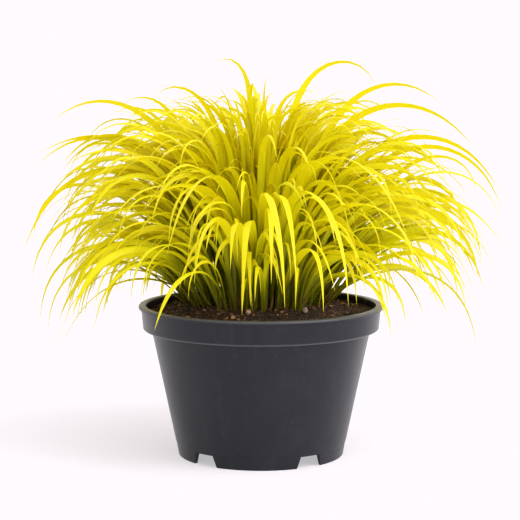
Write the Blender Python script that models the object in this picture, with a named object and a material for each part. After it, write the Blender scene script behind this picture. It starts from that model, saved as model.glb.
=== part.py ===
"""Potted ornamental grass clump: nursery pot, potting mix, pebbles and a fountain of leaf tufts.

Metres, +Z up. The origin is on the floor at the centre of the object, and -Y is its front.
"""
import math

import bmesh
import bpy
from mathutils import Vector

# Driving dimensions, metres and degrees.
POT_HEIGHT = 0.157
LIP_RADIUS = 0.127
LIP_HEIGHT = 0.0037
MOUTH_RADIUS = 0.1190
BAND_TOP_RADIUS = 0.1243
BAND_BOTTOM_RADIUS = 0.1224
BAND_BOTTOM = 0.1320
BODY_TOP_RADIUS = 0.1138
FOOT_RADIUS = 0.0859
FOOT_HEIGHT = 0.0140
FOOT_STEP = 0.0006
WALL = 0.0022
BASE_UNDERSIDE = 0.0110
BASE_TOP = 0.0138
POT_SIDES = 72

NOTCH_COUNT = 5
NOTCH_HEIGHT = 0.0126
NOTCH_WIDTH = 0.0232
NOTCH_FRONT_GAP = 76.0
NOTCH_FRONT_TURN = -3.2
NOTCH_DRAFT = 0.0028
DRAIN_COUNT = 5
DRAIN_RADIUS = 0.0055
DRAIN_RING = 0.050

GAP = 0.0003
CROWN_LEVEL = 0.1590
WALL_LEVEL = 0.1500
CROWN_FLAT = 0.070
MOUND_FOOT = 0.104
SOIL_SIDES = 48
SOIL_RELIEF = 0.0006

# Each pebble: where it lies, its half sizes and its turn.
PEBBLES = {
    "pebble_left": ((-0.0128, -0.0785), (0.0030, 0.0027, 0.0028), 20.0),
    "pebble_right": ((0.0440, -0.0680), (0.0032, 0.0028, 0.0035), -35.0),
}
PEBBLE_DENT = 0.08
PEBBLE_LIFT = 1.08

# Tiers of tufts, innermost first: where the tier lies between the upright centre of the
# fountain (0) and its lowest skirt (1), how many tufts it has, and the turn of the first one.
TIERS = (
    ("crown", 0.065, 5, 40.0),
    ("upper", 0.25, 9, 8.0),
    ("middle", 0.46, 12, 0.0),
    ("lower", 0.68, 12, 15.0),
    ("skirt", 0.90, 10, 18.0),
)

# The fountain's law. Each row is a polynomial in the place between centre (0) and skirt (1).
LEAN_AT_CROWN = (1.0, 38.0)
LEAN_AT_TIP = (78.0, 328.0, -215.0)
BEND_POWER = (4.6, -4.23, 1.65)
LEAF_LENGTH = (0.268, 0.437, -0.522)
SHOOT_RADIUS = (0.003, 0.064)

# A tuft's half thickness falls from its base to its tip, and its half width, a share of half
# its sector, swells over the first part and tapers over the last.
TUFT_BASE_DEPTH = 0.0046
TUFT_TIP_DEPTH = 0.0010
TUFT_WIDTH = 0.62
TUFT_SWELL = 0.10
SWELL_END = 0.50
TAPER_START = 0.40
TIP_WIDTH = 0.05
TUFT_REACH = 0.975
REACH_RANGE = 0.02

TUFT_STATIONS = 10
TUFT_SECTION = 6
LINE_STEPS = 90


def remove_everything():
    for thing in list(bpy.data.objects):
        bpy.data.objects.remove(thing, do_unlink=True)


def make_material(name, colour, roughness):
    material = bpy.data.materials.new(name)
    material.use_nodes = True
    shader = material.node_tree.nodes["Principled BSDF"]
    shader.inputs["Base Color"].default_value = (*colour, 1.0)
    shader.inputs["Roughness"].default_value = roughness
    shader.inputs["Metallic"].default_value = 0.0
    material.diffuse_color = (*colour, 1.0)
    return material


def add_object(name, bm, material, smooth_angle=40.0):
    if bm.calc_volume(signed=True) < 0.0:
        bmesh.ops.reverse_faces(bm, faces=bm.faces)
    mesh = bpy.data.meshes.new(name)
    bm.to_mesh(mesh)
    bm.free()
    mesh.shade_smooth()
    mesh.set_sharp_from_angle(angle=math.radians(smooth_angle))
    mesh.materials.append(material)
    thing = bpy.data.objects.new(name, mesh)
    bpy.context.scene.collection.objects.link(thing)
    return thing


def polar(radius, angle, height):
    """A point at an angle from the front (-Y), turning towards +X."""
    return Vector((radius * math.sin(angle), -radius * math.cos(angle), height))


def skin_rings(bm, rings):
    """Joins closed rings of points with quads."""
    for lower, upper in zip(rings, rings[1:]):
        count = len(lower)
        for i in range(count):
            j = (i + 1) % count
            bm.faces.new((lower[i], lower[j], upper[j], upper[i]))


def turned(profile, sides):
    """A solid of revolution whose profile starts and ends on the axis."""
    bm = bmesh.new()
    first = bm.verts.new((0.0, 0.0, profile[0][1]))
    last = bm.verts.new((0.0, 0.0, profile[-1][1]))
    rings = []
    for radius, height in profile[1:-1]:
        angles = [2.0 * math.pi * i / sides for i in range(sides)]
        rings.append([bm.verts.new(polar(radius, angle, height)) for angle in angles])
    skin_rings(bm, rings)
    for i in range(sides):
        j = (i + 1) % sides
        bm.faces.new((first, rings[0][j], rings[0][i]))
        bm.faces.new((last, rings[-1][i], rings[-1][j]))
    return bm


def body_radius(height):
    """Outer radius of the tapered wall."""
    share = height / BAND_BOTTOM
    return FOOT_RADIUS + (BODY_TOP_RADIUS - FOOT_RADIUS) * share


def mouth_profile(offset):
    """The pot's inside from its floor to the top of the band, moved inwards by offset."""
    return [
        (body_radius(BASE_TOP) - WALL - offset, BASE_TOP + offset),
        (body_radius(BAND_BOTTOM) - WALL - offset, BAND_BOTTOM + WALL + offset),
        (MOUTH_RADIUS - offset, BAND_BOTTOM + 2.0 * WALL + offset),
    ]


def pot_profile():
    """Right half of the pot's section: underside, foot, outside, lip, inside, floor."""
    edge = 0.0007
    lip_under = POT_HEIGHT - LIP_HEIGHT
    foot_inside = FOOT_RADIUS - WALL - edge
    outside = [
        (0.0, BASE_UNDERSIDE),
        (foot_inside - 0.002, BASE_UNDERSIDE),
        (foot_inside, BASE_UNDERSIDE - 0.002),
        (foot_inside - 0.001, 0.0),
        (FOOT_RADIUS - edge, 0.0),
        (FOOT_RADIUS, edge),
        (body_radius(FOOT_HEIGHT) - FOOT_STEP, FOOT_HEIGHT),
        (body_radius(FOOT_HEIGHT), FOOT_HEIGHT + FOOT_STEP),
        (body_radius(BAND_BOTTOM), BAND_BOTTOM),
        (BAND_BOTTOM_RADIUS - edge, BAND_BOTTOM),
        (BAND_BOTTOM_RADIUS, BAND_BOTTOM + edge),
        (BAND_TOP_RADIUS, lip_under - edge),
        (LIP_RADIUS - edge, lip_under),
        (LIP_RADIUS, lip_under + edge),
        (LIP_RADIUS, POT_HEIGHT - edge),
        (LIP_RADIUS - edge, POT_HEIGHT),
        (MOUTH_RADIUS + edge, POT_HEIGHT),
        (MOUTH_RADIUS, POT_HEIGHT - edge),
    ]
    inside = list(reversed(mouth_profile(0.0)))
    return outside + inside + [(0.0, BASE_TOP)]


def notch_angles():
    """Angles of the foot ring's notches: a front pair, and the rest evenly between them."""
    rest_gap = (360.0 - NOTCH_FRONT_GAP) / (NOTCH_COUNT - 1)
    first = NOTCH_FRONT_TURN + NOTCH_FRONT_GAP / 2.0
    return [math.radians(first + rest_gap * i) for i in range(NOTCH_COUNT)]


def make_notch_cutter(angle):
    """A block through the foot ring, narrower at its top, that leaves one drainage notch."""
    bm = bmesh.new()
    half = NOTCH_WIDTH / 2.0
    below = -0.004
    outline = [
        (-half - NOTCH_DRAFT, below),
        (half + NOTCH_DRAFT, below),
        (half, NOTCH_HEIGHT),
        (-half, NOTCH_HEIGHT),
    ]
    outward = Vector((math.sin(angle), -math.cos(angle), 0.0))
    across = Vector((math.cos(angle), math.sin(angle), 0.0))
    rings = []
    for reach in (FOOT_RADIUS - 0.012, FOOT_RADIUS + 0.010):
        points = [outward * reach + across * x + Vector((0.0, 0.0, z)) for x, z in outline]
        rings.append([bm.verts.new(point) for point in points])
    skin_rings(bm, rings)
    bm.faces.new(rings[0][::-1])
    bm.faces.new(rings[1])
    return bm


def make_drain_cutter(x, y):
    bm = bmesh.new()
    bmesh.ops.create_cone(
        bm, cap_ends=True, segments=16, radius1=DRAIN_RADIUS, radius2=DRAIN_RADIUS, depth=0.012
    )
    bmesh.ops.translate(bm, verts=bm.verts, vec=(x, y, (BASE_UNDERSIDE + BASE_TOP) / 2.0))
    return bm


def cut(target, name, bm, material):
    cutter = add_object(name, bm, material)
    cutter.hide_render = True
    cutter.display_type = "WIRE"
    modifier = target.modifiers.new(name, "BOOLEAN")
    modifier.operation = "DIFFERENCE"
    modifier.solver = "EXACT"
    modifier.object = cutter


def make_pot():
    plastic = make_material("charcoal_plastic", (0.036, 0.036, 0.043), 0.48)
    pot = add_object("pot", turned(pot_profile(), POT_SIDES), plastic)
    for i, angle in enumerate(notch_angles()):
        cut(pot, f"notch_cutter_{i + 1}", make_notch_cutter(angle), plastic)
    cut(pot, "drain_cutter_0", make_drain_cutter(0.0, 0.0), plastic)
    for i in range(DRAIN_COUNT):
        place = polar(DRAIN_RING, 2.0 * math.pi * (i + 0.5) / DRAIN_COUNT, 0.0)
        cut(pot, f"drain_cutter_{i + 1}", make_drain_cutter(place.x, place.y), plastic)


def soil_height(radius, angle):
    """A mound, flat under the grass, that falls to a low trough with lumps round the wall."""
    share = min(max((radius - CROWN_FLAT) / (MOUND_FOOT - CROWN_FLAT), 0.0), 1.0)
    fall = share * share * (3.0 - 2.0 * share)
    lumps = math.sin(5.0 * angle + 0.7) + math.sin(8.0 * angle + 210.0 * radius)
    level = CROWN_LEVEL + (WALL_LEVEL - CROWN_LEVEL) * fall
    return level + SOIL_RELIEF * fall * (lumps - 1.0) / 2.0


def make_soil():
    """The plug of potting mix, a gap clear of the pot all round."""
    mix = make_material("potting_mix", (0.040, 0.024, 0.016), 0.95)
    sides = [(0.0, BASE_TOP + GAP)] + mouth_profile(GAP)
    top_radii = [MOUTH_RADIUS - GAP, MOUND_FOOT, 0.093, 0.081, CROWN_FLAT]
    bm = bmesh.new()
    bottom = bm.verts.new((0.0, 0.0, sides[0][1]))
    crown = bm.verts.new((0.0, 0.0, CROWN_LEVEL))
    angles = [2.0 * math.pi * i / SOIL_SIDES for i in range(SOIL_SIDES)]
    rings = [[bm.verts.new(polar(r, a, z)) for a in angles] for r, z in sides[1:]]
    rings += [[bm.verts.new(polar(r, a, soil_height(r, a))) for a in angles] for r in top_radii]
    skin_rings(bm, rings)
    for i in range(SOIL_SIDES):
        j = (i + 1) % SOIL_SIDES
        bm.faces.new((bottom, rings[0][j], rings[0][i]))
        bm.faces.new((crown, rings[-1][i], rings[-1][j]))
    add_object("soil", bm, mix)


def make_pebbles():
    stone = make_material("pebble_stone", (0.55, 0.44, 0.39), 0.7)
    for name, (place, half_sizes, turn) in PEBBLES.items():
        bm = bmesh.new()
        bmesh.ops.create_icosphere(bm, subdivisions=2, radius=1.0)
        for vert in bm.verts:
            dent = 1.0 + PEBBLE_DENT * math.sin(3.0 * vert.co.x + 2.0 * vert.co.y + turn)
            vert.co = Vector([c * dent * half for c, half in zip(vert.co, half_sizes)])
        pebble = add_object(name, bm, stone)
        pebble.rotation_euler.z = math.radians(turn)
        ground = soil_height(math.hypot(*place), math.atan2(place[0], -place[1]))
        lift = half_sizes[2] * (1.0 + PEBBLE_DENT) * PEBBLE_LIFT + GAP
        pebble.location = (place[0], place[1], ground + lift)


def law(coefficients, u):
    return sum(value * u ** power for power, value in enumerate(coefficients))


def leaf_line(u):
    """A leaf's path as (radius, height, lean) from crown to tip, bending over as it goes.

    u is the leaf's place in the fountain, and lean is the path's angle from upright. The paths
    of different tiers nest inside each other without crossing.
    """
    lean_start = math.radians(law(LEAN_AT_CROWN, u))
    lean_end = math.radians(law(LEAN_AT_TIP, u))
    bend = law(BEND_POWER, u)
    step = law(LEAF_LENGTH, u) / LINE_STEPS
    radius = law(SHOOT_RADIUS, u)
    height = CROWN_LEVEL + GAP
    line = [(radius, height, lean_start)]
    for i in range(LINE_STEPS):
        share = (i + 0.5) / LINE_STEPS
        lean = lean_start + (lean_end - lean_start) * share ** bend
        radius += step * math.sin(lean)
        height += step * math.cos(lean)
        line.append((radius, height, lean))
    return line


def tuft_depth(share):
    """Half of a tuft's thickness: a firm shoot base, a flat bunch, then fine tips."""
    return TUFT_BASE_DEPTH + (TUFT_TIP_DEPTH - TUFT_BASE_DEPTH) * share ** 1.5


def tuft_width(share):
    """Half of a tuft's share of its sector, fullest before the leaves part into tips."""
    swell = TUFT_WIDTH + TUFT_SWELL * math.sin(math.pi * min(share / SWELL_END, 1.0))
    past = max((share - TAPER_START) / (1.0 - TAPER_START), 0.0)
    return swell * (1.0 - (1.0 - TIP_WIDTH) * past ** 1.2)


def make_tuft(name, u, turn, sector, reach, material):
    """One closed plume: six-sided sections along the leaf path, closed at both ends.

    The first section lies flat on the soil, and the others stand square to the path.
    """
    corners = [2.0 * math.pi * i / TUFT_SECTION for i in range(TUFT_SECTION)]
    line = leaf_line(u)
    bm = bmesh.new()
    rings = []
    for i in range(TUFT_STATIONS):
        share = reach * i / (TUFT_STATIONS - 1)
        radius, height, lean = line[round(share * LINE_STEPS)]
        tilt = lean if i else 0.0
        ring = []
        for corner in corners:
            out = tuft_depth(share) * math.sin(corner)
            angle = turn + sector / 2.0 * tuft_width(share) * math.cos(corner)
            place = (radius + out * math.cos(tilt), angle, height - out * math.sin(tilt))
            ring.append(bm.verts.new(polar(*place)))
        rings.append(ring)
    skin_rings(bm, rings)
    bm.faces.new(rings[0][::-1])
    bm.faces.new(rings[-1])
    add_object(name, bm, material, smooth_angle=75.0)


def make_grass():
    leaf = make_material("grass_leaf", (0.86, 0.70, 0.05), 0.45)
    for tier, u, count, first_turn in TIERS:
        sector = 2.0 * math.pi / count
        for i in range(count):
            turn = math.radians(first_turn) + sector * i
            reach = TUFT_REACH + REACH_RANGE * math.sin(2.4 * i + 9.0 * u)
            make_tuft(f"tuft_{tier}_{i + 1:02d}", u, turn, sector, reach, leaf)


remove_everything()
make_pot()
make_soil()
make_pebbles()
make_grass()
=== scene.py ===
"""Looks of the potted golden grass: leaves, potting mix, pebbles and a moulded charcoal pot."""
import math
import random

import bmesh
import bpy
import numpy as np
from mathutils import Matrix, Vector, noise


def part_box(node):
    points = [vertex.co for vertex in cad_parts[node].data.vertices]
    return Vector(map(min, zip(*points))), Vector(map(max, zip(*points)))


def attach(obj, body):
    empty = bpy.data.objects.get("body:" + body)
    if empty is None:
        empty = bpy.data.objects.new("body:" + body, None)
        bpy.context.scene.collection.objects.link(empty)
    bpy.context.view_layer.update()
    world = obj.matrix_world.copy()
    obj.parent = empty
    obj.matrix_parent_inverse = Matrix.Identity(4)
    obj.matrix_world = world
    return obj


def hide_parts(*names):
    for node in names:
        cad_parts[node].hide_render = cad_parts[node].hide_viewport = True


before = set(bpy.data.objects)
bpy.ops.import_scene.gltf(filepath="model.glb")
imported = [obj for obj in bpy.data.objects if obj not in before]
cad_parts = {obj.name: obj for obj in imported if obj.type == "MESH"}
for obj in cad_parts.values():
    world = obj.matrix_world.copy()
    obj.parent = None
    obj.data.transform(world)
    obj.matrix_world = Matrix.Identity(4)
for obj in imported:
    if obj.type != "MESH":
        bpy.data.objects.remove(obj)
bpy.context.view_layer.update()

# Places read from the frame, metres.
POT_LOW, POT_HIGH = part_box("pot")
SOIL_LOW, SOIL_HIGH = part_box("soil")
POT_HEIGHT = POT_HIGH[2]
LIP_RADIUS = (POT_HIGH[0] - POT_LOW[0]) / 2.0
SOIL_RADIUS = (SOIL_HIGH[0] - SOIL_LOW[0]) / 2.0
SOIL_BOTTOM = SOIL_LOW[2]
CROWN_LEVEL = SOIL_HIGH[2]

# The camera, which looks down at the object by a few degrees. Its lens is in millimetres.
CAMERA_PLACE = (-0.001, -1.8474, 0.4220)
CAMERA_PITCH = 6.769
CAMERA_LENS = 124.4
CAMERA_SENSOR = 36.0
CAMERA_REACH = 60.0

# The studio: the strength of its backdrop and of its dim side, the direction that it brightens
# towards, and the cosines from that direction between which it does.
BACKDROP = 1.25
DIM_SIDE = 0.14
BRIGHT_SIDE = (0.60, 0.80, 0.0)
DIM_COSINE = -1.0
BRIGHT_COSINE = 0.2
FLOOR_GLOW = 0.41
FLOOR_REACH = 25.0

# Each sun: where it shines from, its strength, and its angle across in degrees.
SUNS = {
    "key": ((0.80, -0.40, 1.15), 1.45, 30.0),
    "front_fill": ((-0.15, -0.90, 1.0), 1.3, 70.0),
    "side_fill": ((0.90, -0.45, 0.15), 1.9, 55.0),
}

# Points that lift the middle tones, and the tops of red, green and blue just below full white.
TONE_POINTS = ((0.10, 0.10), (0.50, 0.56))
WHITE_POINT = (0.992, 0.957, 0.992)

FULL_TURN = 2.0 * math.pi


def smoothstep(x):
    x = min(max(x, 0.0), 1.0)
    return x * x * (3.0 - 2.0 * x)


def polar(radius, angle, height):
    """A point at an angle from the front (-Y), turning towards +X."""
    return Vector((radius * math.sin(angle), -radius * math.cos(angle), height))


# ---------------------------------------------------------------- material helpers

def new_material(name):
    material = bpy.data.materials.new(name)
    material.use_nodes = True
    tree = material.node_tree
    return material, tree, tree.nodes["Principled BSDF"]


def add_node(tree, kind, **settings):
    """Adds a node; each setting is the value of one of its sockets or properties."""
    node = tree.nodes.new(kind)
    for key, value in settings.items():
        if key in node.inputs:
            node.inputs[key].default_value = value
        else:
            setattr(node, key, value)
    return node


def ramp(tree, source, stops):
    """A colour ramp fed by source; stops are (position, (r, g, b))."""
    node = tree.nodes.new("ShaderNodeValToRGB")
    elements = node.color_ramp.elements
    while len(elements) < len(stops):
        elements.new(0.5)
    for element, (position, colour) in zip(elements, stops):
        element.position = position
        element.color = (*colour, 1.0)
    tree.links.new(source, node.inputs["Fac"])
    return node.outputs["Color"]


def grey_ramp(tree, source, stops):
    return ramp(tree, source, [(position, (value,) * 3) for position, value in stops])


def mix(tree, a, b, factor, blend="MIX"):
    node = tree.nodes.new("ShaderNodeMix")
    node.data_type = "RGBA"
    node.blend_type = blend
    for socket, value in (("A_Color", a), ("B_Color", b), ("Factor_Float", factor)):
        target = next(s for s in node.inputs if s.identifier == socket)
        if isinstance(value, bpy.types.NodeSocket):
            tree.links.new(value, target)
        elif isinstance(value, tuple):
            target.default_value = (*value, 1.0)
        else:
            target.default_value = value
    return next(s for s in node.outputs if s.identifier == "Result_Color")


def maths(tree, operation, *values):
    node = tree.nodes.new("ShaderNodeMath")
    node.operation = operation
    for target, value in zip(node.inputs, values):
        if isinstance(value, bpy.types.NodeSocket):
            tree.links.new(value, target)
        else:
            target.default_value = value
    return node.outputs[0]


def attribute(tree, name):
    return add_node(tree, "ShaderNodeAttribute", attribute_name=name)


def texture(tree, kind, stretch=(1.0, 1.0, 1.0), **settings):
    """A procedural texture laid in the object's own space."""
    place = add_node(tree, "ShaderNodeTexCoord").outputs["Object"]
    scale = add_node(tree, "ShaderNodeMapping")
    scale.inputs["Scale"].default_value = stretch
    tree.links.new(place, scale.inputs["Vector"])
    node = add_node(tree, kind, **settings)
    tree.links.new(scale.outputs["Vector"], node.inputs["Vector"])
    return node


def bump(tree, shader, height, strength, distance):
    node = add_node(tree, "ShaderNodeBump", Strength=strength, Distance=distance)
    tree.links.new(height, node.inputs["Height"])
    tree.links.new(node.outputs["Normal"], shader.inputs["Normal"])


# ---------------------------------------------------------------- mesh helpers

def link(data):
    """Puts an object of the data's own name in the scene."""
    thing = bpy.data.objects.new(data.name, data)
    bpy.context.scene.collection.objects.link(thing)
    return thing


def add_piece(mesh, material, slot, *nodes):
    """Puts a mesh in the scene as a piece of the body, in place of the CAD nodes named."""
    mesh.materials.append(material)
    piece = link(mesh)
    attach(piece, "root")
    if nodes:
        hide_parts(*nodes)


def shade(mesh, angle):
    """Smooth shading, with the edges that turn by more than angle degrees left sharp."""
    mesh.shade_smooth()
    mesh.set_sharp_from_angle(angle=math.radians(angle))


def turned_mesh(name, outline, sides):
    """A closed solid of revolution; the outline starts and ends on the axis."""
    bm = bmesh.new()
    angles = [FULL_TURN * i / sides for i in range(sides)]
    first = bm.verts.new((0.0, 0.0, outline[0][1]))
    last = bm.verts.new((0.0, 0.0, outline[-1][1]))
    rings = [[bm.verts.new(polar(r, a, z)) for a in angles] for r, z in outline[1:-1]]
    for lower, upper in zip(rings, rings[1:]):
        for i in range(sides):
            j = (i + 1) % sides
            bm.faces.new((lower[i], lower[j], upper[j], upper[i]))
    for i in range(sides):
        j = (i + 1) % sides
        bm.faces.new((first, rings[0][j], rings[0][i]))
        bm.faces.new((last, rings[-1][i], rings[-1][j]))
    if bm.calc_volume(signed=True) < 0.0:
        bmesh.ops.reverse_faces(bm, faces=bm.faces)
    mesh = bpy.data.meshes.new(name)
    bm.to_mesh(mesh)
    bm.free()
    return mesh


# ---------------------------------------------------------------- camera, floor and light

def make_camera():
    data = bpy.data.cameras.new("camera")
    data.lens = CAMERA_LENS
    data.sensor_width = CAMERA_SENSOR
    data.clip_end = CAMERA_REACH
    camera = link(data)
    camera.location = CAMERA_PLACE
    camera.rotation_euler = (math.radians(90.0 - CAMERA_PITCH), 0.0, 0.0)
    bpy.context.scene.camera = camera


def make_world():
    """A white backdrop to look at, and a studio that is dimmer at its front left to light with."""
    world = bpy.data.worlds.new("studio")
    world.use_nodes = True
    tree = world.node_tree
    background = tree.nodes["Background"]
    towards = add_node(tree, "ShaderNodeVectorMath", operation="DOT_PRODUCT")
    tree.links.new(add_node(tree, "ShaderNodeTexCoord").outputs["Generated"], towards.inputs[0])
    towards.inputs[1].default_value = BRIGHT_SIDE
    light = add_node(tree, "ShaderNodeMapRange", interpolation_type="SMOOTHSTEP")
    tree.links.new(towards.outputs["Value"], light.inputs["Value"])
    light.inputs["From Min"].default_value = DIM_COSINE
    light.inputs["From Max"].default_value = BRIGHT_COSINE
    light.inputs["To Min"].default_value = DIM_SIDE
    light.inputs["To Max"].default_value = BACKDROP
    seen = add_node(tree, "ShaderNodeLightPath").outputs["Is Camera Ray"]
    backdrop = maths(tree, "MULTIPLY", seen, BACKDROP)
    strength = maths(tree, "MAXIMUM", light.outputs["Result"], backdrop)
    background.inputs["Color"].default_value = (1.0, 0.985, 1.0, 1.0)
    tree.links.new(strength, background.inputs["Strength"])
    bpy.context.scene.world = world


def make_suns():
    for name, (towards, energy, angle) in SUNS.items():
        data = bpy.data.lights.new(name, "SUN")
        data.energy = energy
        data.angle = math.radians(angle)
        link(data).rotation_euler = Vector(towards).to_track_quat("Z", "Y").to_euler()


def make_floor():
    """A pale floor that glows a little, so that only the deepest shadow on it shows."""
    material, _, shader = new_material("floor")
    shader.inputs["Base Color"].default_value = (0.50, 0.485, 0.50, 1.0)
    shader.inputs["Roughness"].default_value = 1.0
    shader.inputs["Specular IOR Level"].default_value = 0.0
    shader.inputs["Emission Color"].default_value = (1.0, 0.975, 1.0, 1.0)
    shader.inputs["Emission Strength"].default_value = FLOOR_GLOW
    bm = bmesh.new()
    bmesh.ops.create_grid(bm, x_segments=1, y_segments=1, size=FLOOR_REACH)
    mesh = bpy.data.meshes.new("floor")
    bm.to_mesh(mesh)
    bm.free()
    mesh.materials.append(material)
    link(mesh)


def set_tones():
    """Plain tones with a soft shoulder, and the white point held just below full white."""
    view = bpy.context.scene.view_settings
    view.view_transform = "Standard"
    view.use_curve_mapping = True
    curves = view.curve_mapping
    curves.extend = "HORIZONTAL"
    for curve, white in zip(curves.curves, WHITE_POINT):
        curve.points[-1].location = (1.0, white)
        for tone, shown in TONE_POINTS:
            curve.points.new(tone, shown)
    curves.update()


# ---------------------------------------------------------------- pot

MOUTH_RADIUS = 0.1190
LIP_UNDERSIDE = 0.1533
BAND_TOP_RADIUS = 0.1243
BAND_BOTTOM_RADIUS = 0.1224
BAND_BOTTOM = 0.1320
BODY_TOP_RADIUS = 0.1138
FOOT_RADIUS = 0.0859
FOOT_HEIGHT = 0.0140
FOOT_STEP = 0.0005
FOOT_WALL = 0.0030
FOOT_DRAFT = 0.0005
WALL = 0.0022
BASE_UNDERSIDE = 0.0110
BASE_TOP = 0.0138
POT_SIDES = 192
ARC_STEPS = 5
SUPPORT = 0.0008

# The foot ring's notches and the drain holes; the front gap and turn are in degrees.
NOTCH_COUNT = 5
NOTCH_HEIGHT = 0.0126
NOTCH_HALF_WIDTH = 0.0116
NOTCH_DRAFT = 0.0028
NOTCH_CORNER = 0.0016
NOTCH_REACH = (-0.012, 0.010)
NOTCH_FRONT_GAP = 76.0
NOTCH_FRONT_TURN = -3.2
DRAIN_COUNT = 5
DRAIN_RADIUS = 0.0055
DRAIN_RING = 0.050
DRAIN_DEPTH = 0.012

# Edges painted pale, as wear and as a painted highlight: each its height and the pale band's
# reach.
WEAR_AND_HIGHLIGHT_EDGES = ((BAND_BOTTOM + 0.0004, 0.0018), (POT_HEIGHT, 0.0026))


def body_radius(height):
    """Outer radius of the tapered wall."""
    return FOOT_RADIUS + (BODY_TOP_RADIUS - FOOT_RADIUS) * height / BAND_BOTTOM


def pot_corners():
    """Corners of the pot's section, from its underside out, up and back in to its floor.

    Each is a radius, a height and the size of its rounding.
    """
    foot_inside = FOOT_RADIUS - FOOT_WALL
    return (
        (0.0, BASE_UNDERSIDE, 0.0),
        (foot_inside - FOOT_DRAFT, BASE_UNDERSIDE, 0.0015),
        (foot_inside, 0.0, 0.0006),
        (FOOT_RADIUS, 0.0, 0.0012),
        (body_radius(FOOT_HEIGHT) - FOOT_STEP, FOOT_HEIGHT, 0.0),
        (body_radius(FOOT_HEIGHT), FOOT_HEIGHT + FOOT_STEP, 0.0),
        (BODY_TOP_RADIUS, BAND_BOTTOM, 0.0008),
        (BAND_BOTTOM_RADIUS, BAND_BOTTOM, 0.0019),
        (BAND_TOP_RADIUS, LIP_UNDERSIDE, 0.0007),
        (LIP_RADIUS, LIP_UNDERSIDE, 0.0010),
        (LIP_RADIUS, POT_HEIGHT, 0.0020),
        (MOUTH_RADIUS, POT_HEIGHT, 0.0013),
        (MOUTH_RADIUS, BAND_BOTTOM + 2.0 * WALL, 0.0015),
        (body_radius(BAND_BOTTOM) - WALL, BAND_BOTTOM + WALL, 0.0015),
        (body_radius(BASE_TOP) - WALL, BASE_TOP, 0.0015),
        (0.0, BASE_TOP, 0.0),
    )


def rounded_outline(corners):
    """The outline through the corners, with a small arc at each one that has a rounding.

    A point just outside each arc keeps the flat beside it flat when it is shaded smooth.
    """
    points = []
    for i, (radius, height, rounding) in enumerate(corners):
        here = Vector((radius, height))
        if rounding == 0.0:
            points.append(here)
            continue
        before = Vector(corners[i - 1][:2]) - here
        after = Vector(corners[i + 1][:2]) - here
        start = here + before.normalized() * rounding
        end = here + after.normalized() * rounding
        if before.length > 4.0 * rounding + SUPPORT:
            points.append(start + before.normalized() * SUPPORT)
        for step in range(ARC_STEPS + 1):
            t = step / ARC_STEPS
            points.append(start * (1.0 - t) ** 2 + here * 2.0 * t * (1.0 - t) + end * t * t)
        if after.length > 4.0 * rounding + SUPPORT:
            points.append(end + after.normalized() * SUPPORT)
    return points


def notch_outline():
    """One notch across the foot ring, narrower at its top, with the foot's corners rounded."""
    wide = NOTCH_HALF_WIDTH + NOTCH_DRAFT + NOTCH_CORNER
    side = [(wide, -NOTCH_CORNER)]
    for step in range(ARC_STEPS + 1):
        turn = math.radians(270.0 - 90.0 * step / ARC_STEPS)
        side.append((wide + NOTCH_CORNER * math.cos(turn), NOTCH_CORNER * (1.0 + math.sin(turn))))
    side.append((NOTCH_HALF_WIDTH, NOTCH_HEIGHT))
    return side + [(-x, z) for x, z in reversed(side)]


def notch_angles():
    """Angles of the notches: a front pair, and the rest evenly between them."""
    rest_gap = (360.0 - NOTCH_FRONT_GAP) / (NOTCH_COUNT - 1)
    first = NOTCH_FRONT_TURN + NOTCH_FRONT_GAP / 2.0
    return [math.radians(first + rest_gap * i) for i in range(NOTCH_COUNT)]


def pot_cutters():
    """One mesh of closed blocks that leave the notches and the drain holes."""
    bm = bmesh.new()
    for angle in notch_angles():
        outward = polar(1.0, angle, 0.0)
        across = Vector((math.cos(angle), math.sin(angle), 0.0))
        rings = []
        for reach in NOTCH_REACH:
            middle = outward * (FOOT_RADIUS + reach)
            places = [middle + across * x + Vector((0.0, 0.0, z)) for x, z in notch_outline()]
            rings.append([bm.verts.new(place) for place in places])
        inner, outer = rings
        for i in range(len(inner)):
            j = (i + 1) % len(inner)
            bm.faces.new((inner[i], inner[j], outer[j], outer[i]))
        bm.faces.new(inner[::-1])
        bm.faces.new(outer)
    turns = [FULL_TURN * (i + 0.5) / DRAIN_COUNT for i in range(DRAIN_COUNT)]
    for hole in [Vector()] + [polar(DRAIN_RING, turn, 0.0) for turn in turns]:
        made = bmesh.ops.create_cone(
            bm,
            cap_ends=True,
            segments=32,
            radius1=DRAIN_RADIUS,
            radius2=DRAIN_RADIUS,
            depth=DRAIN_DEPTH,
        )
        hole.z = (BASE_UNDERSIDE + BASE_TOP) / 2.0
        bmesh.ops.translate(bm, verts=made["verts"], vec=hole)
    bmesh.ops.recalc_face_normals(bm, faces=bm.faces)
    mesh = bpy.data.meshes.new("cutters")
    bm.to_mesh(mesh)
    bm.free()
    return mesh


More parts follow.
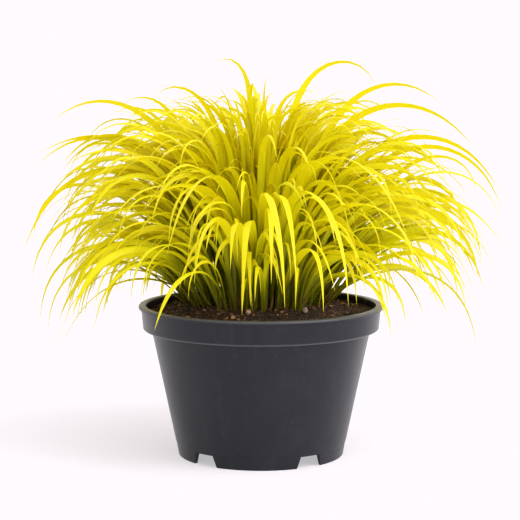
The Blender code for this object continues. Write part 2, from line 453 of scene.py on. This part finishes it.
def pot_material():
    """Satin charcoal plastic with a dull bloom, faint rubs, pale edges of wear and painted
    highlight, and a few pale specks.
    """
    material, tree, shader = new_material("charcoal_plastic")
    cloud = texture(tree, "ShaderNodeTexNoise", Scale=11.0, Detail=6.0, Roughness=0.6)
    colour = ramp(tree, cloud.outputs["Fac"], (
        (0.30, (0.0032, 0.0034, 0.0080)),
        (0.55, (0.0062, 0.0064, 0.0125)),
        (0.80, (0.0150, 0.0148, 0.0225)),
    ))
    upright = (90.0, 90.0, 9.0)
    rubs = texture(tree, "ShaderNodeTexNoise", upright, Scale=1.0, Detail=5.0, Roughness=0.7)
    rub_share = grey_ramp(tree, rubs.outputs["Fac"], ((0.55, 0.0), (0.78, 0.28)))
    colour = mix(tree, colour, (0.036, 0.036, 0.043), rub_share)
    height = add_node(tree, "ShaderNodeSeparateXYZ")
    tree.links.new(add_node(tree, "ShaderNodeTexCoord").outputs["Object"], height.inputs[0])
    # Pale rings at the lip and band edge: some wear, and a painted highlight of the light they
    # catch.
    for edge, reach in WEAR_AND_HIGHLIGHT_EDGES:
        gap = maths(tree, "ABSOLUTE", maths(tree, "SUBTRACT", height.outputs["Z"], edge))
        worn = maths(tree, "SUBTRACT", 1.0, maths(tree, "DIVIDE", gap, reach))
        worn = maths(tree, "MULTIPLY", maths(tree, "MAXIMUM", worn, 0.0), 0.9)
        colour = mix(tree, colour, (0.095, 0.095, 0.105), worn)
    specks = texture(tree, "ShaderNodeTexNoise", Scale=520.0, Detail=2.0)
    speck_share = grey_ramp(tree, specks.outputs["Fac"], ((0.69, 0.0), (0.76, 0.45)))
    colour = mix(tree, colour, (0.11, 0.11, 0.12), speck_share)
    tree.links.new(colour, shader.inputs["Base Color"])
    rough = grey_ramp(tree, cloud.outputs["Fac"], ((0.3, 0.31), (0.8, 0.44)))
    tree.links.new(rough, shader.inputs["Roughness"])
    grain = texture(tree, "ShaderNodeTexNoise", Scale=700.0, Detail=3.0)
    bump(tree, shader, grain.outputs["Fac"], 0.10, 0.0004)
    shader.inputs["Specular IOR Level"].default_value = 0.34
    return material


def make_pot():
    pot = link(turned_mesh("pot_blank", rounded_outline(pot_corners()), POT_SIDES))
    cutters = link(pot_cutters())
    modifier = pot.modifiers.new("cut", "BOOLEAN")
    modifier.operation = "DIFFERENCE"
    modifier.solver = "EXACT"
    modifier.object = cutters
    evaluated = pot.evaluated_get(bpy.context.evaluated_depsgraph_get())
    mesh = bpy.data.meshes.new_from_object(evaluated)
    mesh.name = "pot_shell"
    bpy.data.objects.remove(pot)
    bpy.data.objects.remove(cutters)
    shade(mesh, 32.0)
    add_piece(mesh, pot_material(), "charcoal_plastic", "pot")


# ---------------------------------------------------------------- soil, crumbs and pebbles

# The mound: flat as far as its crown's edge, then falling to a trough by the wall.
CROWN_FLAT = 0.070
MOUND_FOOT = 0.104
MOUND_FALL = 0.0090
LUMP_RISE = 0.0013
GRIT_RISE = 0.0005
SETTLING = 0.0006
SOIL_GAP = 0.0005
SOIL_RINGS = 64
SOIL_SIDES = 176
BED_TONE = 0.31
BED_TONE_SWING = 0.24

# Crumbs, grains and fibres, which lie between an inner circle and the edge.
CRUMB_SEED = 31
CRUMB_EDGE = SOIL_RADIUS - 0.0025
CRUMB_INNER = 0.030
CRUMB_COUNT = 1000
CRUMB_SIZE = 0.0011
CRUMB_GROWTH = 0.0022
CRUMB_SKEW = 2.2
GRAIN_COUNT = 4500
GRAIN_SIZES = (0.0005, 0.0014)
FIBRE_INNER = 0.055
FIBRE_COUNT = 150
FIBRE_STEPS = 7
FIBRE_SIDES = 3
FIBRE_LENGTHS = (0.006, 0.018)
FIBRE_RADII = (0.00012, 0.00028)
FIBRE_LIFTS = (0.0004, 0.0030)
FIBRE_CLEARANCE = 0.0004

PEBBLE_SUNK = 0.0012


def soil_height(x, y):
    """The mound of potting mix, with lumps and grit."""
    fall = smoothstep((math.hypot(x, y) - CROWN_FLAT) / (MOUND_FOOT - CROWN_FLAT))
    place = Vector((x, y, 0.0))
    lumps = noise.noise(place * 75.0) + 0.5 * noise.noise(place * 190.0)
    grit = noise.noise(place * 520.0)
    return CROWN_LEVEL - MOUND_FALL * fall + LUMP_RISE * lumps + GRIT_RISE * grit - SETTLING


def soil_material():
    """Damp bark and coir: near black hollows, brown crumbs, and ochre and rust chips."""
    material, tree, shader = new_material("potting_mix")
    tone = attribute(tree, "tone").outputs["Fac"]
    grain = texture(tree, "ShaderNodeTexNoise", Scale=420.0, Detail=5.0, Roughness=0.7)
    shifted = maths(tree, "MULTIPLY_ADD", grain.outputs["Fac"], 0.50, -0.25)
    mottled = maths(tree, "ADD", tone, shifted)
    colour = ramp(tree, mottled, (
        (0.00, (0.0060, 0.0040, 0.0030)),
        (0.35, (0.0260, 0.0130, 0.0072)),
        (0.60, (0.0820, 0.0370, 0.0170)),
        (0.80, (0.2000, 0.0950, 0.0430)),
        (1.00, (0.4200, 0.2500, 0.1200)),
    ))
    tree.links.new(colour, shader.inputs["Base Color"])
    bump(tree, shader, grain.outputs["Fac"], 0.5, 0.0006)
    shader.inputs["Roughness"].default_value = 0.78
    shader.inputs["Specular IOR Level"].default_value = 0.35
    return material


def write_floats(mesh, name, values):
    """Stores one number a vertex, for a material to read."""
    layer = mesh.attributes.new(name, "FLOAT", "POINT")
    layer.data.foreach_set("value", np.array(values, dtype=np.float32))


def make_soil_bed(material):
    """The plug of mix, a gap clear of the pot, with close rings over its top for the mound."""
    outline = [
        (0.0, SOIL_BOTTOM),
        (body_radius(BASE_TOP) - WALL - SOIL_GAP, SOIL_BOTTOM),
        (body_radius(BAND_BOTTOM) - WALL - SOIL_GAP, BAND_BOTTOM + WALL),
        (SOIL_RADIUS, BAND_BOTTOM + 2.0 * WALL),
    ]
    for i in range(SOIL_RINGS):
        outline.append((SOIL_RADIUS * (1.0 - i / SOIL_RINGS), CROWN_LEVEL))
    outline.append((0.0, CROWN_LEVEL))
    mesh = turned_mesh("soil_bed", outline, SOIL_SIDES)
    tones = []
    for vert in mesh.vertices:
        # The top's points, as near as single precision holds their height.
        if vert.co.z >= CROWN_LEVEL - 1e-5:
            vert.co.z = soil_height(vert.co.x, vert.co.y)
        tones.append(BED_TONE + BED_TONE_SWING * noise.noise(vert.co * 160.0))
    write_floats(mesh, "tone", tones)
    shade(mesh, 70.0)
    add_piece(mesh, material, "potting_mix", "soil")


def icosphere_parts(subdivisions):
    """Corners and faces of a unit ball, to be shaped into stones and crumbs."""
    bm = bmesh.new()
    bmesh.ops.create_icosphere(bm, subdivisions=subdivisions, radius=1.0)
    verts = [vert.co.copy() for vert in bm.verts]
    faces = [[vert.index for vert in face.verts] for face in bm.faces]
    bm.free()
    return verts, faces


def scatter_place(rng, inner):
    """A random place on the soil between the inner circle and the edge."""
    radius = math.sqrt(rng.uniform(inner ** 2, CRUMB_EDGE ** 2))
    return polar(radius, rng.uniform(0.0, FULL_TURN), 0.0)


def add_crumb(rng, shape, size, verts, faces, tones):
    """One rough chip, half sunk in the bed."""
    corners, sides = shape
    place = scatter_place(rng, CRUMB_INNER)
    place.z = soil_height(place.x, place.y) + size * 0.10
    scale = Vector((size, size * rng.uniform(0.45, 0.9), size * rng.uniform(0.3, 0.65)))
    turn = rng.uniform(0.0, FULL_TURN)
    tilt = rng.gauss(0.0, 0.45)
    tone = min(max(rng.gauss(0.52, 0.24), 0.05), 0.98)
    first = len(verts)
    offset = Vector((rng.uniform(-9.0, 9.0), rng.uniform(-9.0, 9.0), 0.0))
    for corner in corners:
        rough = 1.0 + 0.42 * noise.noise(corner * 1.4 + offset)
        x, y, z = (c * s * rough for c, s in zip(corner, scale))
        y, z = y * math.cos(tilt) - z * math.sin(tilt), y * math.sin(tilt) + z * math.cos(tilt)
        x, y = x * math.cos(turn) - y * math.sin(turn), x * math.sin(turn) + y * math.cos(turn)
        verts.append(place + Vector((x, y, z)))
        tones.append(tone)
    faces.extend([first + index for index in side] for side in sides)


def add_fibre(rng, verts, faces, tones):
    """One thin curved coir strand lying on the bed."""
    place = scatter_place(rng, FIBRE_INNER)
    heading = rng.uniform(0.0, FULL_TURN)
    curl = rng.gauss(0.0, 1.6)
    length = rng.uniform(*FIBRE_LENGTHS)
    radius = rng.uniform(*FIBRE_RADII)
    lift = rng.uniform(*FIBRE_LIFTS)
    tone = rng.uniform(0.45, 0.95)
    first = len(verts)
    for i in range(FIBRE_STEPS):
        share = i / (FIBRE_STEPS - 1)
        along = heading + curl * share
        step = length / (FIBRE_STEPS - 1)
        place = place + Vector((math.cos(along), math.sin(along), 0.0)) * step
        if math.hypot(place.x, place.y) > CRUMB_EDGE:
            place *= CRUMB_EDGE / math.hypot(place.x, place.y)
        ground = soil_height(place.x, place.y) + FIBRE_CLEARANCE
        height = ground + lift * math.sin(math.pi * share)
        side = Vector((-math.sin(along), math.cos(along), 0.0))
        thick = radius * (1.0 - 0.6 * share)
        for j in range(FIBRE_SIDES):
            turn = FULL_TURN * j / FIBRE_SIDES
            lifted = Vector((0.0, 0.0, height + thick * math.sin(turn)))
            verts.append(Vector((place.x, place.y, 0.0)) + side * thick * math.cos(turn) + lifted)
            tones.append(tone)
    last = first + FIBRE_SIDES * (FIBRE_STEPS - 1)
    for ring in range(first, last, FIBRE_SIDES):
        for j in range(FIBRE_SIDES):
            a = ring + j
            b = ring + (j + 1) % FIBRE_SIDES
            faces.append([a, b, b + FIBRE_SIDES, a + FIBRE_SIDES])
    faces.append([first + j for j in reversed(range(FIBRE_SIDES))])
    faces.append([last + j for j in range(FIBRE_SIDES)])


def make_crumbs(material):
    """One mesh of the loose chips, grains and coir strands on the bed."""
    rng = random.Random(CRUMB_SEED)
    verts, faces, tones = [], [], []
    chunk = icosphere_parts(2)
    speck = icosphere_parts(1)
    for _ in range(CRUMB_COUNT):
        size = CRUMB_SIZE + CRUMB_GROWTH * rng.random() ** CRUMB_SKEW
        add_crumb(rng, chunk, size, verts, faces, tones)
    for _ in range(GRAIN_COUNT):
        add_crumb(rng, speck, rng.uniform(*GRAIN_SIZES), verts, faces, tones)
    for _ in range(FIBRE_COUNT):
        add_fibre(rng, verts, faces, tones)
    mesh = bpy.data.meshes.new("soil_crumbs")
    mesh.from_pydata(verts, [], faces)
    write_floats(mesh, "tone", tones)
    shade(mesh, 40.0)
    add_piece(mesh, material, "potting_mix")


def make_soil():
    material = soil_material()
    make_soil_bed(material)
    make_crumbs(material)


def pebble_material(name, pale, dark):
    """Cloudy stone with pale flecks."""
    material, tree, shader = new_material(name)
    cloud = texture(tree, "ShaderNodeTexNoise", Scale=330.0, Detail=6.0, Roughness=0.7)
    colour = ramp(tree, cloud.outputs["Fac"], ((0.32, dark), (0.62, pale)))
    flecks = texture(tree, "ShaderNodeTexVoronoi", Scale=1500.0)
    fleck_share = grey_ramp(tree, flecks.outputs["Distance"], ((0.10, 0.5), (0.22, 0.0)))
    colour = mix(tree, colour, (0.80, 0.66, 0.58), fleck_share)
    tree.links.new(colour, shader.inputs["Base Color"])
    bump(tree, shader, cloud.outputs["Fac"], 0.25, 0.0003)
    shader.inputs["Roughness"].default_value = 0.55
    return material


def make_pebble(node, material):
    """A worn stone of the CAD pebble's size and place, a little sunk in the mix."""
    low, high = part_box(node)
    middle = Vector([(a + b) / 2.0 for a, b in zip(low, high)])
    half = [(b - a) / 2.0 for a, b in zip(low, high)]
    corners, sides = icosphere_parts(5)
    verts = []
    for corner in corners:
        dent = 0.92 + 0.20 * noise.noise(corner * 1.5 + middle * 90.0)
        dent += 0.07 * noise.noise(corner * 3.2 + middle * 50.0)
        place = Vector([c * h * dent for c, h in zip(corner, half)])
        verts.append(middle + place - Vector((0.0, 0.0, PEBBLE_SUNK)))
    name = node.replace("pebble", "stone")
    mesh = bpy.data.meshes.new(name)
    mesh.from_pydata(verts, [], sides)
    mesh.shade_smooth()
    add_piece(mesh, material, "pebble_stone", node)


def make_pebbles():
    tan = pebble_material("pebble_tan", (0.50, 0.29, 0.21), (0.26, 0.15, 0.11))
    rose = pebble_material("pebble_rose", (0.33, 0.22, 0.20), (0.17, 0.11, 0.10))
    make_pebble("pebble_left", tan)
    make_pebble("pebble_right", rose)


# ---------------------------------------------------------------- leaves

LEAF_RINGS = 30
LEAF_CORNERS = 6
LEAF_SUBSTEPS = 4
LEAF_THICKNESS = 0.00035
LEAF_SUNK = 0.003
LEAF_SEED = 7

# The blade's width: its share of the full width at the foot and at the tip, and how far along
# it is full. Then its section: how much of the fold and of the thickness is lost by the tip, the
# half width below which it is thinner still, and where its shoulders lie from rib to edge.
FOOT_WIDTH = 0.38
TIP_WIDTH = 0.015
FULL_WIDTH_AT = 0.42
FOLD_LOSS = 0.75
THICKNESS_LOSS = 0.6
THIN_BELOW = 0.0008
SHOULDER_REACH = 0.52
SHOULDER_RISE = 0.42

# Margins of a leaf's strip on the baked map, at its sides and at its ends.
STRIP_SIDE = 0.08
STRIP_END = 0.01

# Arcs of the fountain, from its upright middle (0) to its lowest skirt (1). Each row: place,
# distance of the foot from the middle, lean at the soil, lean at the tip, bend and length.
# Leans are in degrees, and a high bend keeps the leaf straight for longer.
ARCS = (
    (0.0, 0.008, 2, 122, 8.0, 0.256),
    (0.2, 0.022, 7, 132, 5.8, 0.274),
    (0.4, 0.036, 14, 146, 3.9, 0.294),
    (0.6, 0.050, 22, 160, 2.8, 0.302),
    (0.8, 0.062, 32, 168, 2.3, 0.270),
    (1.0, 0.072, 42, 172, 2.1, 0.215),
)

# For each tier of tufts: its place among the arcs, its shoots per tuft and leaves per shoot.
TIERS = {
    "crown": (0.05, 5, 4),
    "upper": (0.25, 5, 4),
    "middle": (0.46, 6, 4),
    "lower": (0.67, 6, 4),
    "skirt": (0.90, 6, 4),
}

# How the leaves of a shoot vary. Spreads are standard deviations: of their place among the arcs,
# their turn (wider near the crown), their feet, sideways sweep, lean, droop, bend, roll and tint.
PLACE_SPREAD = 0.065
PLACE_LIMIT = 1.05
TURN_SPREAD = 0.20
CROWN_TURN_SPREAD = 0.45
FOOT_SPREAD = 0.0016
SWEEP_SPREAD = 0.22
LEAN_SPREAD = 5.5
DROOP_SPREAD = 13.0
DROOP_LIMIT = 176.0
BEND_SPREAD = 0.18
ROLL_SPREAD = 0.6
TINT = 0.72
TINT_SPREAD = 0.2
WIDTHS = (0.0058, 0.0092)
SKIRT_NARROWING = 0.0012
TAPERS = (0.42, 0.70)
FOLDS = (15.0, 45.0)
SHORTENING = 0.26
FRONT_SHORTENING = 0.18
SHORTENING_SKEW = 1.6

# How the shoots of a tuft vary, in their place among the arcs and in the distance of their feet.
SHOOT_PLACE_RANGE = 0.10
SHOOT_FOOT_SPREAD = 0.003
SHOOT_FOOT_LEAST = 0.001

# The short dead leaves at the foot of a shoot.
SHEATH_LENGTHS = (0.012, 0.034)
SHEATH_WIDTHS = (0.0025, 0.0045)
SHEATH_DROOPS = (10.0, 50.0)
SHEATH_BEND = 1.5
DRY_TINT = 2.0

# The longest leaves, which give the clump its outline. Each row: turn from the front, distance
# of its foot from the middle, lean at the soil, lean at the tip, bend, length and width.
LONG_LEAVES = (
    (-75, 0.010, 0, 130, 13.0, 0.280, 0.0105),
    (-80, 0.010, 10, 140, 7.5, 0.280, 0.0085),
    (-80, 0.030, 15, 135, 8.0, 0.270, 0.0080),
    (-85, 0.020, 20, 130, 4.0, 0.330, 0.0085),
    (-90, 0.015, 25, 120, 3.0, 0.315, 0.0070),
    (-90, 0.005, 30, 135, 3.5, 0.325, 0.0075),
    (-85, 0.030, 15, 160, 2.0, 0.340, 0.0085),
    (80, 0.025, 0, 160, 5.5, 0.330, 0.0085),
    (85, 0.025, 10, 130, 4.0, 0.330, 0.0090),
    (85, 0.040, 0, 140, 2.5, 0.355, 0.0085),
    (90, 0.035, 15, 150, 2.5, 0.345, 0.0080),
    (90, 0.050, 15, 160, 2.5, 0.335, 0.0070),
    (10, 0.010, 0, 40, 9.0, 0.245, 0.0075),
)

# Leaves that arch over the open front and hang there, in the same columns.
FRONT_LEAVES = (
    (0, 0.040, 15, 175, 2.0, 0.320, 0.0085),
    (-5, 0.040, 25, 160, 2.0, 0.275, 0.0090),
    (5, 0.040, 20, 175, 2.5, 0.250, 0.0085),
    (10, 0.030, 0, 145, 1.5, 0.305, 0.0080),
    (15, 0.040, 15, 175, 2.0, 0.325, 0.0090),
    (20, 0.040, 45, 170, 3.0, 0.220, 0.0080),
    (-15, 0.045, 35, 165, 3.0, 0.250, 0.0085),
    (-10, 0.050, 30, 140, 2.5, 0.230, 0.0085),
    (-20, 0.040, 5, 155, 2.0, 0.305, 0.0085),
    (-30, 0.040, 15, 175, 3.0, 0.250, 0.0090),
    (30, 0.040, 0, 155, 2.0, 0.330, 0.0090),
    (35, 0.035, 30, 175, 2.5, 0.300, 0.0090),
)

# What the chosen leaves of both tables share. Those at the sides are rolled more, and those at
# the front sweep sideways at random, up to a limit.
CHOSEN_TAPER = 0.60
CHOSEN_FOLD = 20.0
CHOSEN_TINT = 0.95
SIDE_TURN = 60.0
SIDE_ROLL = 0.95
FRONT_ROLL = 0.35
FRONT_SWEEP = 0.6

# How much sparser, shorter and more upright the leaves are where the clump opens at its front,
# from which arc on they are sparser and shorter, and how sharply it fades towards the sides.
FRONT_THIN = 0.70
FRONT_THIN_FROM = 0.15
FRONT_THIN_RISE = 0.3
FRONT_SHORT = 0.30
FRONT_SHORT_BY = 0.7
FRONT_UPRIGHT = 0.70
FRONT_FADE = 1.3


def leaf_material():
    """Lemon leaf: olive base, deepened as painted shade, yellow blade, fine lengthwise veins, and
    brown where it is dead.
    """
    material, tree, shader = new_material("grass_leaf")
    leaf = add_node(tree, "ShaderNodeSeparateXYZ")
    tree.links.new(attribute(tree, "leaf").outputs["Vector"], leaf.inputs[0])
    along, across, tint = leaf.outputs
    # Dark olive base: partly the leaf's own colour, partly painted shade of the clump's shaded
    # core.
    colour = ramp(tree, along, (
        (0.00, (0.100, 0.075, 0.014)),
        (0.06, (0.100, 0.112, 0.004)),
        (0.20, (0.180, 0.190, 0.002)),
        (0.42, (0.690, 0.610, 0.001)),
        (0.65, (0.810, 0.650, 0.002)),
        (0.85, (0.790, 0.612, 0.004)),
        (1.00, (0.765, 0.580, 0.010)),
    ))
    greener = mix(tree, colour, (0.60, 0.90, 0.35), 1.0, "MULTIPLY")
    green_share = maths(tree, "MULTIPLY", maths(tree, "SUBTRACT", 1.0, tint), 0.6)
    green_share = maths(tree, "MAXIMUM", green_share, 0.0)
    colour = mix(tree, colour, greener, green_share)
    veins = maths(tree, "SINE", maths(tree, "MULTIPLY", across, 44.0))
    colour = mix(tree, colour, (0.36, 0.32, 0.01), maths(tree, "MULTIPLY_ADD", veins, 0.08, 0.08))
    rib = maths(tree, "ABSOLUTE", maths(tree, "SUBTRACT", across, 0.5))
    rib_share = grey_ramp(tree, rib, ((0.0, 0.22), (0.10, 0.0)))
    colour = mix(tree, colour, (0.93, 0.76, 0.07), rib_share)
    dry = maths(tree, "GREATER_THAN", tint, DRY_TINT - 0.5)
    colour = mix(tree, colour, (0.13, 0.075, 0.025), dry)
    tree.links.new(colour, shader.inputs["Base Color"])
    shader.inputs["Roughness"].default_value = 0.42
    shader.inputs["Specular IOR Level"].default_value = 0.14
    shader.inputs["Subsurface Weight"].default_value = 0.35
    shader.inputs["Subsurface Radius"].default_value = (1.0, 0.75, 0.08)
    shader.inputs["Subsurface Scale"].default_value = 0.0025
    return material


def leaf_path(leaf):
    """Points and headings along a leaf that starts upright and bends over under its weight."""
    points = []
    heads = []
    steps = (LEAF_RINGS - 1) * LEAF_SUBSTEPS
    place = polar(leaf["foot"], leaf["foot_turn"], CROWN_LEVEL - LEAF_SUNK) + leaf["shift"]
    for i in range(steps + 1):
        share = i / steps
        bent = math.sin(math.pi / 2.0 * share ** leaf["bend"])
        lean = leaf["lean"] + (leaf["droop"] - leaf["lean"]) * bent
        heading = leaf["turn"] + leaf["sweep"] * share * share
        along = polar(math.sin(lean), heading, math.cos(lean))
        if i % LEAF_SUBSTEPS == 0:
            points.append(place.copy())
            heads.append(along)
        place = place + along * (leaf["length"] / steps)
    return points, heads


def leaf_width(share, taper):
    """Width along a leaf: a narrow sheath, a broad blade, then a fine tip from taper onwards."""
    rise = FOOT_WIDTH + (1.0 - FOOT_WIDTH) * smoothstep(share / FULL_WIDTH_AT)
    past = max((share - taper) / (1.0 - taper), 0.0)
    return rise * (TIP_WIDTH + (1.0 - TIP_WIDTH) * (1.0 - past ** 1.25) ** 1.1)


def leaf_ring(leaf, point, along, share):
    """Six corners of a folded blade's section, each with its place across the blade."""
    side = polar(1.0, leaf["turn"] + math.pi / 2.0, 0.0)
    across = (side - along * side.dot(along)).normalized()
    up = across.cross(along).normalized()
    roll = leaf["roll"] + leaf["twist"] * share
    right = across * math.cos(roll) + up * math.sin(roll)
    face = up * math.cos(roll) - across * math.sin(roll)
    half = leaf["width"] / 2.0 * leaf_width(share, leaf["taper"])
    fold = leaf["fold"] * (1.0 - FOLD_LOSS * share)
    rise = half * math.sin(fold)
    reach = half * math.cos(fold)
    thick = LEAF_THICKNESS * (1.0 - THICKNESS_LOSS * share) * min(half / THIN_BELOW, 1.0)
    shoulder = face * (rise * SHOULDER_RISE + thick)
    return (
        (0.00, point - right * reach + face * rise),
        (0.25, point - right * reach * SHOULDER_REACH + shoulder),
        (0.50, point + face * thick * 0.5),
        (0.75, point + right * reach * SHOULDER_REACH + shoulder),
        (1.00, point + right * reach + face * rise),
        (0.50, point - face * thick),
    )


def strip_map(index, count, ring, corner):
    """Where a leaf's corner lies on the baked map: each leaf has an upright strip of its own."""
    u = (index + STRIP_SIDE + (1.0 - 2.0 * STRIP_SIDE) * corner / LEAF_CORNERS) / count
    v = STRIP_END + (1.0 - 2.0 * STRIP_END) * ring / (LEAF_RINGS - 1)
    return u, v


def add_leaf(leaf, index, count, verts, marks, faces, places):
    """Adds one closed, folded, tapering leaf to the lists that its tuft's mesh is made from."""
    first = len(verts)
    for i, (point, along) in enumerate(zip(*leaf_path(leaf))):
        share = i / (LEAF_RINGS - 1)
        for mark, corner in leaf_ring(leaf, point, along, share):
            verts.append(corner)
            marks.append((share, mark, leaf["tint"]))
    for i in range(LEAF_RINGS - 1):
        for j in range(LEAF_CORNERS):
            a = first + i * LEAF_CORNERS + j
            b = first + i * LEAF_CORNERS + (j + 1) % LEAF_CORNERS
            faces.append((a, b, b + LEAF_CORNERS, a + LEAF_CORNERS))
            for ring, corner in ((i, j), (i, j + 1), (i + 1, j + 1), (i + 1, j)):
                places.append(strip_map(index, count, ring, corner))
    ends = ((0, range(LEAF_CORNERS)[::-1]), (LEAF_RINGS - 1, range(LEAF_CORNERS)))
    for ring, order in ends:
        faces.append(tuple(first + ring * LEAF_CORNERS + j for j in order))
        places.extend(strip_map(index, count, ring, j) for j in order)


def build_tuft(node, leaves, material):
    """One mesh of a tuft's leaves, in place of its CAD solid."""
    verts, marks, faces, places = [], [], [], []
    for index, leaf in enumerate(leaves):
        add_leaf(leaf, index, len(leaves), verts, marks, faces, places)
    name = node.replace("tuft", "leaves")
    mesh = bpy.data.meshes.new(name)
    mesh.from_pydata(verts, [], faces)
    layer = mesh.attributes.new("leaf", "FLOAT_VECTOR", "POINT")
    layer.data.foreach_set("vector", np.array(marks, dtype=np.float32).ravel())
    baked = mesh.uv_layers.new(name="OFBake")
    baked.uv.foreach_set("vector", np.array(places, dtype=np.float32).ravel())
    shade(mesh, 50.0)
    add_piece(mesh, material, "grass_leaf", node)


def arc_at(place):
    """The arc's foot, leans, bend and length at a place from the middle (0) to the skirt (1)."""
    places = [row[0] for row in ARCS]
    return [float(np.interp(place, places, column)) for column in list(zip(*ARCS))[1:]]


def tier_nodes(tier):
    return sorted(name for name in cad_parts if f"tuft_{tier}_" in name)


def tuft_turn(node):
    """The direction in which a CAD tuft leans, from the middle of its box."""
    low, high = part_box(node)
    return math.atan2((low[0] + high[0]) / 2.0, -(low[1] + high[1]) / 2.0)


def front_share(turn):
    """How squarely a direction faces the front: 1 at the front, and 0 from the sides back."""
    return max(math.cos(turn), 0.0) ** FRONT_FADE


def shoot_leaves(rng, place, turn, foot, count):
    """The leaves of one shoot: they share a foot and fan out from it."""
    leaves = []
    for _ in range(count):
        along = min(max(place + rng.gauss(0.0, PLACE_SPREAD), 0.0), PLACE_LIMIT)
        _, lean, droop, bend, length = arc_at(along)
        heading = turn + rng.gauss(0.0, TURN_SPREAD + CROWN_TURN_SPREAD * (1.0 - along) ** 3)
        front = front_share(heading)
        shortening = SHORTENING + FRONT_SHORTENING * front
        size = 1.0 - shortening * rng.random() ** SHORTENING_SKEW
        size *= 1.0 - FRONT_SHORT * front * smoothstep(along / FRONT_SHORT_BY)
        lean *= 1.0 - FRONT_UPRIGHT * front
        width = rng.uniform(*WIDTHS) - SKIRT_NARROWING * along
        leaf = {
            "foot": foot,
            "foot_turn": turn,
            "shift": Vector((rng.gauss(0.0, FOOT_SPREAD), rng.gauss(0.0, FOOT_SPREAD), 0.0)),
            "turn": heading,
            "sweep": rng.gauss(0.0, SWEEP_SPREAD),
            "lean": math.radians(max(lean + rng.gauss(0.0, LEAN_SPREAD), 0.0)),
            "droop": math.radians(min(droop + rng.gauss(0.0, DROOP_SPREAD), DROOP_LIMIT)),
            "bend": bend * math.exp(rng.gauss(0.0, BEND_SPREAD)),
            "length": length * size,
            "width": width,
            "taper": rng.uniform(*TAPERS),
            "fold": math.radians(rng.uniform(*FOLDS)),
            "roll": rng.gauss(0.0, ROLL_SPREAD),
            "twist": rng.gauss(0.0, ROLL_SPREAD),
            "tint": min(max(rng.gauss(TINT, TINT_SPREAD), 0.0), 1.0),
        }
        thinning = smoothstep((along - FRONT_THIN_FROM) / FRONT_THIN_RISE)
        if rng.random() >= FRONT_THIN * front * thinning:
            leaves.append(leaf)
    return leaves


def dry_sheaths(rng, place, turn, foot, count):
    """Short dead leaves at the foot of a shoot."""
    sheaths = []
    for leaf in shoot_leaves(rng, place, turn, foot, count):
        leaf["length"] = rng.uniform(*SHEATH_LENGTHS)
        leaf["width"] = rng.uniform(*SHEATH_WIDTHS)
        leaf["droop"] = leaf["lean"] + math.radians(rng.uniform(*SHEATH_DROOPS))
        leaf["bend"] = SHEATH_BEND
        leaf["tint"] = DRY_TINT
        sheaths.append(leaf)
    return sheaths


def tuft_leaves(rng, tier, node):
    """The leaves of one tuft: its shoots stand in its own sector of the clump."""
    place, shoots, per_shoot = TIERS[tier]
    sector = FULL_TURN / len(tier_nodes(tier))
    leaves = []
    for _ in range(shoots):
        along = place + rng.uniform(-SHOOT_PLACE_RANGE, SHOOT_PLACE_RANGE)
        turn = tuft_turn(node) + sector * rng.uniform(-0.5, 0.5)
        foot = max(arc_at(along)[0] + rng.gauss(0.0, SHOOT_FOOT_SPREAD), SHOOT_FOOT_LEAST)
        leaves += shoot_leaves(rng, along, turn, foot, per_shoot)
        leaves += dry_sheaths(rng, along, turn, foot, 1)
    return leaves


def chosen_leaf(row, sweep):
    """A leaf placed as listed, rolled to show some of its face to the front."""
    turn, foot, lean, droop, bend, length, width = row
    side = math.copysign(1.0, turn)
    return {
        "foot": foot,
        "foot_turn": math.radians(turn),
        "shift": Vector(),
        "turn": math.radians(turn),
        "sweep": sweep,
        "lean": math.radians(lean),
        "droop": math.radians(droop),
        "bend": bend,
        "length": length,
        "width": width,
        "taper": CHOSEN_TAPER,
        "fold": math.radians(CHOSEN_FOLD),
        "roll": side * (SIDE_ROLL if abs(turn) > SIDE_TURN else FRONT_ROLL),
        "twist": 0.0,
        "tint": CHOSEN_TINT,
    }


def turn_apart(a, b):
    """The angle between two directions."""
    return abs((a - b + math.pi) % FULL_TURN - math.pi)


def make_grass():
    """Every tuft's leaves, with each chosen leaf in the nearest upper or middle tuft."""
    rng = random.Random(LEAF_SEED)
    tufts = {}
    for tier in TIERS:
        for node in tier_nodes(tier):
            tufts[node] = tuft_leaves(rng, tier, node)
    hosts = [node for node in tufts if "upper" in node or "middle" in node]
    chosen = [chosen_leaf(row, 0.0) for row in LONG_LEAVES]
    chosen += [chosen_leaf(row, rng.uniform(-FRONT_SWEEP, FRONT_SWEEP)) for row in FRONT_LEAVES]
    for leaf in chosen:
        host = min(hosts, key=lambda node: turn_apart(tuft_turn(node), leaf["turn"]))
        tufts[host].append(leaf)
    material = leaf_material()
    for node, leaves in tufts.items():
        build_tuft(node, leaves, material)


make_camera()
make_world()
make_suns()
make_floor()
make_pot()
make_soil()
make_pebbles()
make_grass()
set_tones()
